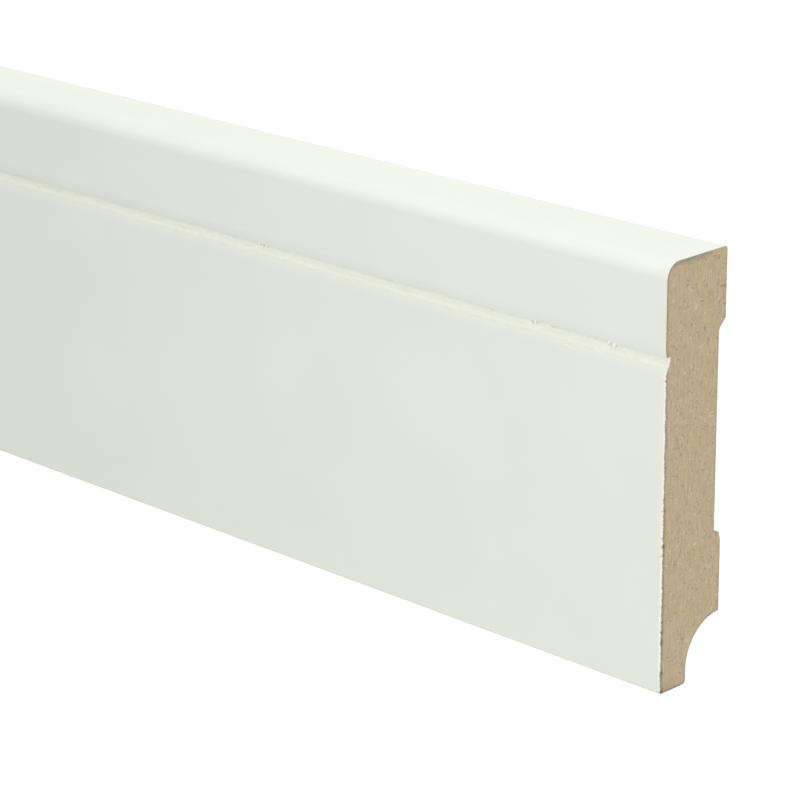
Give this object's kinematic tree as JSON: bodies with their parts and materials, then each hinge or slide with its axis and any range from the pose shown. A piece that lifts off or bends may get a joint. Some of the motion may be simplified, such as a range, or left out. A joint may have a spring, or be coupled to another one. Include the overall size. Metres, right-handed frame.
{
  "type": "skirting board length",
  "caption": "Straight MDF skirting board length, white on front and top, with a rounded top edge, a grooved line on the face, a relieved back and a cable cove behind the foot.",
  "frame": {"origin": "middle of the footprint: half way along and across the board, at the level of the back lands", "axes": "+X along the board, +Y across it towards the rounded top edge, +Z out of the front face. The board lies on its back."},
  "size_m": [2.4, 0.09, 0.018],
  "materials": {
    "white_wrap_on_mdf": "satin white wrap on the front and top, bare brown MDF on the back, foot and sawn ends"
  },
  "bodies": {
    "root": {"skirting_board": "white_wrap_on_mdf"}
  },
  "joints": []
}
